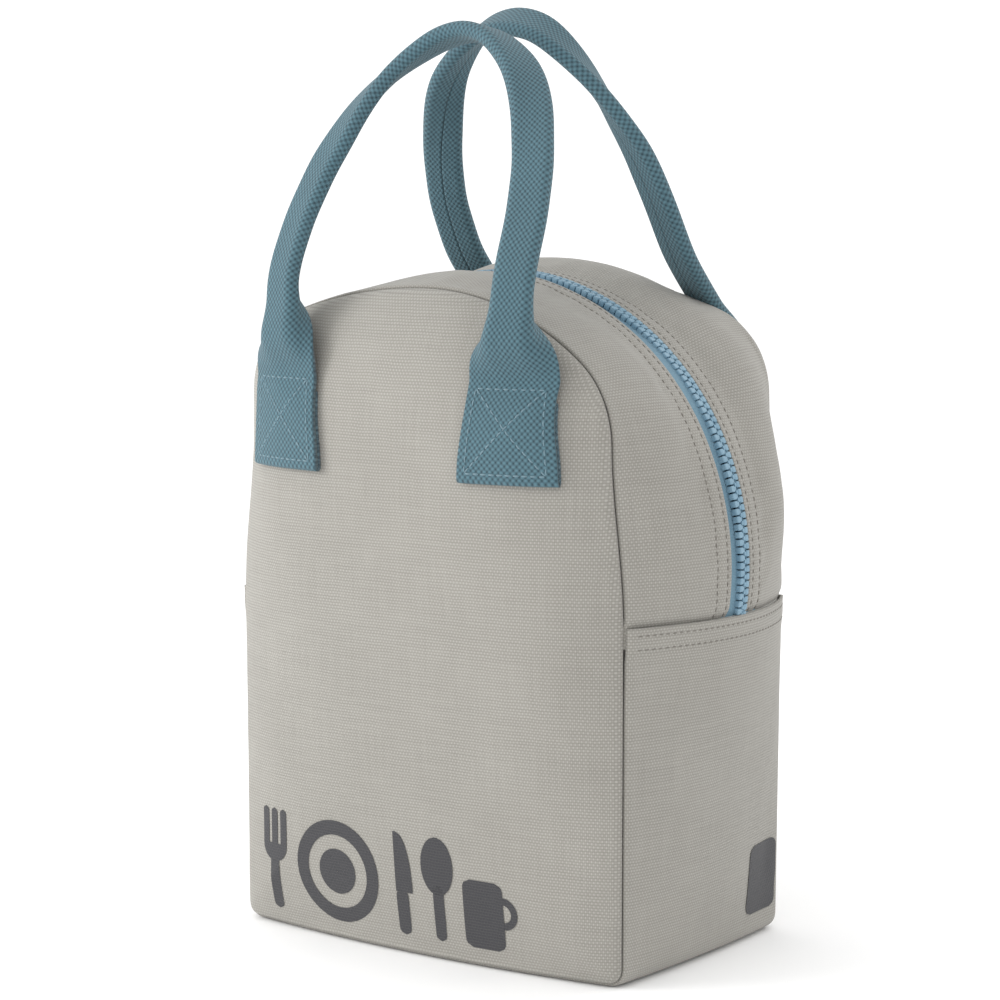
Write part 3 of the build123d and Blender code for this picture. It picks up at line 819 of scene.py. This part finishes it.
def tooth_row(sign):
    """One row of teeth: each is a block that grips the tape's edge and a head that reaches between
    the heads of the other row."""
    body, body_faces = rounded_block(2.45 * MM, 2.2 * MM, 2.6 * MM, 0.35 * MM)
    head, head_faces = rounded_block(1.7 * MM, 1.7 * MM, 2.3 * MM, 0.3 * MM)
    body[:, 1] += sign * 2.1 * MM
    head[:, 1] += sign * 0.7 * MM
    template = np.concatenate([body, head])
    faces = body_faces + [[i + len(body) for i in f] for f in head_faces]
    phase = TOOTH_STEP / 2 if sign > 0 else 0.0
    verts, all_faces = [], []
    for step in range(-70, 71):
        a = 90 + phase + step * TOOTH_STEP
        if not FIRST_ANGLE - 2 < a < 182 - FIRST_ANGLE:
            continue
        t = math.radians(a)
        radial = np.array([math.cos(t), 0, math.sin(t)])
        chain = np.array([-math.sin(t), 0, math.cos(t)])
        centre = np.array([0, 0, ZIP_Z]) + radial * (TOOTH_RADIUS + 0.25 * MM)
        centre[2] += fuller(centre[0], centre[2])
        first = len(verts)
        verts.extend(centre + template @ np.array([chain, (0, 1, 0), radial]))
        all_faces += [[i + first for i in f] for f in faces]
    return verts, all_faces


for side, sign in SIDES:
    verts, faces = tooth_row(sign)
    teeth = mesh_object(f"{side}_zip_teeth", verts, faces, tooth_plastic)
    on_wall(teeth, "zip_teeth", side, f"{side}_zip_teeth", "zip_end_teeth")


# ---- the lower gusset
lower_seam = whole(seam_lower((46, 10, 52)), False)
lower_middle = whole(zip_lower((46, 10, 52)), False)


def across_bag(columns, inset=0.0):
    """The lower gusset from the front seam to the rear one."""
    near = gusset_grid(lower_seam, lower_middle, columns, "front", inset, to_zip=False)
    far = gusset_grid(lower_seam, lower_middle, columns, "rear", inset, to_zip=False)
    return np.concatenate([near, far[:, ::-1][:, 1:]], 1)


gusset_columns = spaced(SEAM_Y, 0.0008, 0.0034, 0.0048)
grid = across_bag(gusset_columns)
outline_out = outward(lower_seam)
z = grid[..., 2]
hem_fold = smooth((z - HEM_Z + 11 * MM) / (1.2 * MM)) * 0.75 * MM
hem_sewn = sum(np.exp(-(((HEM_Z - z - row) / (1.2 * MM)) ** 2)) for row in HEM_ROWS) * 0.3 * MM
grid[..., 0] += outline_out[:, 0][:, None] * (hem_fold - hem_sewn + 0.25 * MM * smooth((z - 0.1) / 0.03))
gusset_outer = grid
gusset = cloth("lower_gusset", grid, canvas, CANVAS, False)
on_shell(gusset, "canvas", "lower_gusset")


def gusset_point(hand, y, height):
    """A point on the outside of the lower gusset's left or right wall."""
    half = len(gusset_outer) // 2
    rows = gusset_outer[half:] if hand > 0 else gusset_outer[: half + 1][::-1]
    rows = rows[rows[:, 0, 2] >= FOOT - 1e-6]
    z_of_rows = rows[:, 0, 2]
    line = np.array([sampled(height, z_of_rows, rows[:, j]) for j in range(rows.shape[1])])
    return sampled(y, line[:, 1], line)


lines = []
for hand in (-1, 1):
    for row in HEM_ROWS:
        ys = np.linspace(-SEAM_Y + 4 * MM, SEAM_Y - 4 * MM, 60)
        points = np.array([gusset_point(hand, y, HEM_Z - row) for y in ys])
        out = np.tile([hand, 0.0, 0.0], (len(ys), 1))
        lines.append((points, out))
hem_stitches = capsule_stitches("hem_stitches", lines, canvas_thread, CANVAS_STITCH)
on_shell(hem_stitches, "canvas")

coarse = np.linspace(2 * MM, SEAM_Y, 14)
piece = cloth("gusset_foam", across_bag(coarse, CANVAS), foam, FOAM, levels=0)
on_shell(piece, "foam", "gusset_foam_lower")
piece = cloth("gusset_lining", across_bag(coarse, CANVAS + FOAM), lining, LINING, levels=0)
on_shell(piece, "lining", "gusset_lining_lower")


# ---- the tapes that bind the seams inside
for side, sign in SIDES:
    up = np.linspace(16 * MM, HEM_Z, 30)[:-1]
    low = np.stack([np.full(29, SEAM_HALF), up], 1)
    halves = [np.concatenate([low, seam_upper(110, radii)]) for radii in ARCHES[side]]
    seam = whole(halves[0], True, halves[1])
    inner = seam * (0.96, 1.0)
    bound = np.linspace(0.5 * MM, 8 * MM, 9)
    grid = gusset_grid(seam, inner, bound, side, CANVAS + FOAM + LINING + 0.2 * MM, to_zip=False)
    hump = np.sin(np.linspace(0, math.pi, 9)) * 1.2 * MM
    out = outward(seam)
    grid[..., 0] -= out[:, 0][:, None] * hump[None]
    grid[..., 2] -= out[:, 1][:, None] * hump[None]
    piece = cloth(f"{side}_binding", grid, binding, 1.0 * MM, sign > 0, levels=0)
    on_wall(piece, "binding", side, f"{side}_binding_lower", f"{side}_binding_upper")


# ---- the handles
WEB = 1.7 * MM                # thickness of the webbing
FLAT_HALF = 6.3 * MM          # half of the flat face of the folded grip
CURL = WEBBING_HALF - 2 * FLAT_HALF
FLARE_START = 2 * MM          # the webbing folds over this stretch above its tabs
FLARE = 38 * MM
FOLD_RADIUS = WEB / 2 + 0.1 * MM    # of the tabs' folded ends
TAB_LIFT = WEB / 2 + 0.15 * MM      # from the panel to the middle of the webbing on it
GATHER = 0.13                 # how much narrower the webbing has become at the top of its tab
SETTLE = 34 * MM              # over this stretch the webbing leaves the panel
# Height above the tabs, half of the loop's width, and distance from the bag's middle plane, in mm.
LOOP = {
    "front": (
        (0, 55.4, 78.4), (25, 56.2, 78.2), (36, 56.8, 77.2), (46, 56.6, 74.6),
        (64, 55.6, 66.3), (84, 51.6, 56.4), (104, 43.8, 46.1), (114, 37.8, 40.6),
        (122, 30.8, 35.8), (128, 23.0, 32.4), (134.5, 12.5, 29.0), (137.2, 0, 27.6),
    ),
    "rear": (
        (0, 55.4, 78.4), (12, 55.4, 75.6), (22, 55.3, 67.6), (32, 55.2, 56.0),
        (47, 55.0, 41.0), (69, 53.8, 28.0), (89, 49.6, 18.9), (109, 41.2, 8.9),
        (120, 34.8, 3.9), (131, 24.4, 1.2), (139, 14.0, 0.3), (142.2, 0, 0),
    ),
}


def section(fold):
    """Across the webbing: (distance, position in the loop's plane, position out of it)."""
    curled = FLAT_HALF + CURL
    zones = ((0, FLAT_HALF, 5), (FLAT_HALF, curled, 9), (curled, WEBBING_HALF, 4))
    s = np.unique(np.concatenate([np.linspace(*zone) for zone in zones]))
    fold = max(fold, 1e-3)
    turned = np.clip((s - FLAT_HALF) / CURL, 0, 1) * fold
    radius = CURL / fold
    w = np.where(s < FLAT_HALF, s, FLAT_HALF + radius * np.sin(turned))
    n = np.where(s < FLAT_HALF, 0, -radius * (1 - np.cos(turned)))
    rest = np.clip(s - FLAT_HALF - CURL, 0, None)
    w = w + rest * math.cos(fold)
    n = n - rest * math.sin(fold)
    s, w = (np.concatenate([-half[::-1], half[1:]]) for half in (s, w))
    return s, w, np.concatenate([n[::-1], n[1:]])


def drawn_in(up):
    """The webbing is drawn together towards the grip: its width at a height above its folded end."""
    on_tab = smooth(up / (TAB_HIGH.z - TAB_LOW.z))
    return 1 - GATHER * on_tab


def strap_path(side):
    """Points up the left leg, over the top and down the right leg, from tab top to tab top."""
    steps = np.array(LOOP[side]) * MM
    half = np.stack([-steps[:, 1], -steps[:, 2], TAB_HIGH.z + steps[:, 0]], 1)
    path = resample(np.concatenate([half, (half * (-1, 1, 1))[::-1][1:]]), 170)
    for _ in range(10):
        path[1:-1] = (path[:-2] + 2 * path[1:-1] + path[2:]) / 4
    return path


def strap_grid(side, sign):
    """The whole strap: the left tab, the loop and the right tab, with its UVs."""
    path = resample(strap_path(side), 170)
    run = along(path)
    total = run[-1]
    from_tab = np.minimum(run, total - run)
    tangent = unit(np.gradient(path, axis=0))
    lean = path[len(path) // 2] - (path[0] + path[-1]) / 2
    plane_out = np.cross(unit(lean), (1, 0, 0))
    plane_out *= -1 if plane_out[1] > 0 else 1
    facing = unit(plane_out[None] - tangent * (tangent @ plane_out)[:, None])
    outwards = np.cross(facing, tangent)
    near, far = panel_depth(np.array([TAB_X - 12 * MM, TAB_X + 12 * MM]), np.full(2, TAB_HIGH.z))
    tab_turn = math.atan((near - far) / (24 * MM))
    at_top = math.radians(80 if sign < 0 else 92)
    turn = tab_turn + (at_top - tab_turn) * smooth((from_tab / (total / 2) - 0.5) / 0.5)
    turn = turn[:, None]
    out = facing * np.cos(turn) + outwards * np.sin(turn)
    wide = np.cross(out, tangent)

    tab_length = TAB_HIGH.z - TAB_LOW.z

    def tab_rows():
        """The sewn end: down behind, round the folded bottom and up the face of the tab."""
        back = [(tab_length - 5 * MM - q, 0.0) for q in np.linspace(0, tab_length - 7 * MM, 10)]
        turns = np.linspace(0, math.pi, 7)[1:-1]
        bend = [(2 * MM - FOLD_RADIUS * math.sin(a) * 1.1, FOLD_RADIUS * (1 - math.cos(a))) for a in turns]
        face = [(q, 2 * FOLD_RADIUS) for q in np.linspace(2 * MM, tab_length, 16)]
        return back + bend + face

    s, w, n = section(0)
    left, right = [], []
    for x0, store in ((-TAB_X, left), (TAB_X, right)):
        for up, rise in tab_rows():
            x = x0 + w * drawn_in(up)
            z = np.full_like(x, TAB_LOW.z + up)
            y = -(panel_depth(x, z) + TAB_LIFT + rise)
            store.append(np.stack([x, y, z], 1))
    body = []
    for i in range(1, len(path) - 1):
        d = from_tab[i]
        fold = smooth((d - FLARE_START) / FLARE) * math.pi * 0.985
        s, w, n = section(float(fold))
        w = w * drawn_in(tab_length)
        n = n + CURL / math.pi * smooth(d / (FLARE_START + FLARE))
        point = path[i] + wide[i][None] * w[:, None] + out[i][None] * n[:, None]
        settle = float(1 - smooth(d / SETTLE))
        if settle > 0:
            lying = np.tile(path[i], (len(w), 1))
            lying[:, 0] += w * np.sign(wide[i][0])
            under = panel_depth(lying[:, 0], np.minimum(lying[:, 2], TAB_HIGH.z))
            lying[:, 1] = -(under + TAB_LIFT + 2 * FOLD_RADIUS) - (n - n.min())
            point = point * (1 - settle) + lying * settle
        body.append(point)
    # The left leg runs up with its width to -X, and the tabs' rows run with their width to +X.
    if body[0][0, 0] > body[0][-1, 0]:
        left = [row[::-1] for row in left]
    right_rows = [row[::-1] if body[-1][0, 0] > body[-1][-1, 0] else row for row in right[::-1]]
    grid = np.array(left + body + right_rows)
    v = along(grid[:, len(s) // 2])
    uv = np.stack(np.broadcast_arrays(s[None, :] * np.ones((len(grid), 1)), v[:, None]), 2)
    if sign > 0:
        grid = grid * (1, -1, 1)
    return grid, uv


def tab_stitches(sign):
    """Rows of thread round each tab and from corner to corner."""
    lines = []
    face_lift = TAB_LIFT + 2 * FOLD_RADIUS + WEB / 2
    inset = 3.6 * MM
    for x0 in (-TAB_X, TAB_X):
        half = WEBBING_HALF - inset
        low, high = TAB_LOW.z + 4.2 * MM, TAB_HIGH.z - 0.5 * MM
        top = half - GATHER * WEBBING_HALF
        corners = [(x0 - half, low), (x0 + half, low), (x0 + top, high), (x0 - top, high)]
        runs = [(0, 1), (1, 2), (2, 3), (3, 0), (0, 2), (1, 3)]
        for a, b in runs:
            flat = np.linspace(corners[a], corners[b], 24)
            depth = panel_depth(flat[:, 0], flat[:, 1]) + face_lift
            points = np.stack([flat[:, 0], sign * depth, flat[:, 1]], 1)
            out = np.tile([0.0, float(sign), 0.0], (24, 1))
            lines.append((points, out))
    return lines


for side, sign in SIDES:
    grid, uv = strap_grid(side, sign)
    rows, cols = grid.shape[:2]
    middle = normals(grid)[rows // 2, cols // 2]
    flip = bool(middle[1] * sign > 0)
    strap = cloth(f"{side}_handle_strap", grid, webbing_twill, WEB, flip, uv, levels=1)
    strap.modifiers["cloth"].offset = 0
    strap.data.materials.append(webbing)
    strap.modifiers["cloth"].material_offset = 1
    stands_for((f"{side}_handle", f"{side}_tab_left", f"{side}_tab_right"))
    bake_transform(strap)
    stitches = capsule_stitches(f"{side}_tab_stitches", tab_stitches(sign), webbing_thread, WEBBING_STITCH)
    stands_for()
    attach(stitches, f"{side}_wall")


# ---- the printed motif and the side mark
def ruled(outline_left, outline_right, low, high, rows=22, cols=7):
    """A shape between two edges given as functions of height."""
    z = np.linspace(low, high, rows)
    a = np.array([outline_left(q) for q in z])
    b = np.array([outline_right(q) for q in z])
    share = np.linspace(0, 1, cols)
    x = a[:, None] + (b - a)[:, None] * share[None]
    return np.stack([x, np.broadcast_to(z[:, None], x.shape)], 2)


def about(centre, half_width):
    return (lambda q: centre - half_width(q)), (lambda q: centre + half_width(q))


def ellipse_half(mid, half_height, half_width):
    return lambda q: half_width * math.sqrt(max(0.0, 1 - ((q - mid) / half_height) ** 2))


def ring(cx, cz, inner, outer, count=48):
    a = np.linspace(0, 2 * math.pi, count)
    r = np.linspace(inner, outer, 4)
    return np.stack([cx + np.cos(a)[:, None] * r[None], cz + np.sin(a)[:, None] * r[None]], 2)


def rounded_half(low, high, half, corner):
    def width(q):
        gap = min(q - low, high - q)
        if gap >= corner:
            return half
        return half - corner + math.sqrt(max(0.0, corner**2 - (corner - gap) ** 2))

    return width


def bar(centre, low, high, half, corner, rows=22, cols=7):
    """An upright bar with rounded corners."""
    return ruled(*about(centre, rounded_half(low, high, half, corner)), low, high, rows, cols)


def motif_shapes():
    """Fork, plate, knife, spoon and mug."""
    low, high = 8 * MM, 51 * MM
    fork, plate, knife, spoon, cup = -72 * MM, -37 * MM, -3.5 * MM, 14.5 * MM, 36 * MM
    back = knife - 3.0 * MM

    def edge_of_blade(q):
        return back + 8.32 * MM * math.sqrt(max(0.0, 1 - ((q - 27 * MM) / (24 * MM)) ** 2)) ** 0.8

    handle = ring(cup + 9.5 * MM, 24 * MM, 3.6 * MM, 6.6 * MM)
    return [
        bar(fork, low, 31 * MM, 2.6 * MM, 2.4 * MM),
        ruled(*about(fork, ellipse_half(35.5 * MM, 7 * MM, 7.5 * MM)), 28.6 * MM, 36 * MM),
        *(bar(fork + k * 5.6 * MM, 34 * MM, high, 1.9 * MM, 1.8 * MM) for k in (-1, 0, 1)),
        ring(plate, 29.5 * MM, 15.5 * MM, 21.5 * MM),
        ring(plate, 29.5 * MM, 0.2 * MM, 9.5 * MM),
        bar(knife, low, 27 * MM, 3.0 * MM, 2.8 * MM),
        ruled(lambda q: back, edge_of_blade, 26 * MM, 50.9 * MM),
        bar(spoon, low, 31 * MM, 2.6 * MM, 2.4 * MM),
        ruled(*about(spoon, ellipse_half(39 * MM, 12 * MM, 7.8 * MM)), 27.05 * MM, 50.95 * MM, 30),
        bar(cup, low, 36 * MM, 9.5 * MM, 3.5 * MM),
        handle[:13],
        handle[35:],
    ]


verts, faces, uvs = [], [], []
for shape in motif_shapes():
    rows, cols = shape.shape[:2]
    x, z = shape[..., 0], shape[..., 1]
    faces += grid_faces(rows, cols, False, len(verts))
    depth = panel_depth(x, z)
    points = np.stack([x, -depth, z], 2)
    distance, _, _ = edge_of(x, z)
    calm = smooth(distance / CALM_ZONE) * CALM_HEIGHT
    points[..., 1] -= calm * ripple(points, CALM_SCALE, CALM_SEED) + 0.22 * MM
    verts += list(points.reshape(-1, 3))
    uvs += list(shape.reshape(-1, 2))
motif = mesh_object("front_print", verts, faces, canvas_print, np.array(uvs))
on_shell(motif, "canvas")

mark = bar(40.5 * MM, 11 * MM, 40 * MM, 12.5 * MM, 4 * MM, rows=30, cols=12)
points = np.array([[gusset_point(1, y, max(zz, FOOT)) for y, zz in row] for row in mark])
points[..., 2] = mark[..., 1]
points[..., 0] += 0.3 * MM
faces = grid_faces(*mark.shape[:2])
side_mark = mesh_object("side_print", points.reshape(-1, 3), faces, canvas_print, mark.reshape(-1, 2))
on_shell(side_mark, "canvas")


# ---- CAD nodes that stay
def dress(node, material, width):
    """Gives a CAD node its material and softened edges."""
    obj = frame["nodes"][node]
    obj.data.materials.clear()
    obj.data.materials.append(material)
    bevel = obj.modifiers.new("edges", "BEVEL")
    bevel.width = width
    bevel.segments = 2
    bevel.limit_method = "ANGLE"
    bevel.angle_limit = math.radians(40)


for node in ("zip_slider", "pull_tab"):
    dress(node, slider_lacquer, 0.25 * MM)
for node in ("top_stops", "bottom_stop"):
    dress(node, tooth_plastic, 0.35 * MM)
dress("base_board", board_sheet, 0.3 * MM)


# ---- floor, light and camera
def area_light(name, place, target, size, power):
    light = bpy.data.lights.new(name, "AREA")
    light.shape = "DISK"
    light.size = size
    light.energy = power
    obj = placed(name, light)
    obj.location = place
    obj.rotation_euler = (Vector(target) - Vector(place)).to_track_quat("-Z", "Y").to_euler()


FLOOR = 6.0
floor_paint = Nodes("floor_paint")
grain = floor_paint.noise(floor_paint.object_place(), 3.0)
floor_white = floor_paint.mix(grain, (0.98, 0.98, 0.98, 1), (1.0, 1.0, 1.0, 1))
floor_material = floor_paint.finish(floor_white, 0.9)
corners = [(-FLOOR, -FLOOR, 0), (FLOOR, -FLOOR, 0), (FLOOR, FLOOR, 0), (-FLOOR, FLOOR, 0)]
floor = mesh_object("floor", corners, [(0, 1, 2, 3)], floor_material)
floor.location.z = -0.3 * MM
floor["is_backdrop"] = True

# The studio's walls are a little brighter on the bag's left than on its right.
SKY, SKY_SLOPE = 1.12, 0.11
world = bpy.data.worlds.new("studio")
bpy.context.scene.world = world
world.use_nodes = True
sky = world.node_tree
sky_place = sky.nodes.new("ShaderNodeTexCoord")
sky_split = sky.nodes.new("ShaderNodeSeparateXYZ")
sky_level = sky.nodes.new("ShaderNodeMath")
sky_level.operation = "MULTIPLY_ADD"
sky_level.inputs[1].default_value = -SKY_SLOPE
sky_level.inputs[2].default_value = SKY
sky.links.new(sky_place.outputs["Generated"], sky_split.inputs[0])
sky.links.new(sky_split.outputs[0], sky_level.inputs[0])
sky.links.new(sky_level.outputs[0], sky.nodes["Background"].inputs[1])
sky.nodes["Background"].inputs[0].default_value = (1, 1, 1, 1)
middle = Vector((0, 0, 0.17))
area_light("key", (-0.62, -0.72, 0.5), middle, 0.5, 4.2)
area_light("back", (0.5, 1.6, 1.6), middle, 1.4, 6.0)

# The view fitted to the photograph.
AZIMUTH, ELEVATION = math.radians(36.3246), math.radians(6.6416)
LOOK_AT = Vector((-0.00554, 0, 0.17717))
CAMERA_DISTANCE = 1.21398
LENS, SENSOR = 105.77, 36.0
level = math.cos(ELEVATION)
away = Vector((math.sin(AZIMUTH) * level, -math.cos(AZIMUTH) * level, math.sin(ELEVATION)))
camera = placed("camera", bpy.data.cameras.new("camera"))
camera.data.lens = LENS
camera.data.sensor_width = SENSOR
camera.location = LOOK_AT + away * CAMERA_DISTANCE
camera.rotation_mode = "QUATERNION"
camera.rotation_quaternion = (-away).to_track_quat("-Z", "Y")
bpy.context.scene.camera = camera
bpy.context.scene.view_settings.view_transform = "Standard"

low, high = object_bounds()
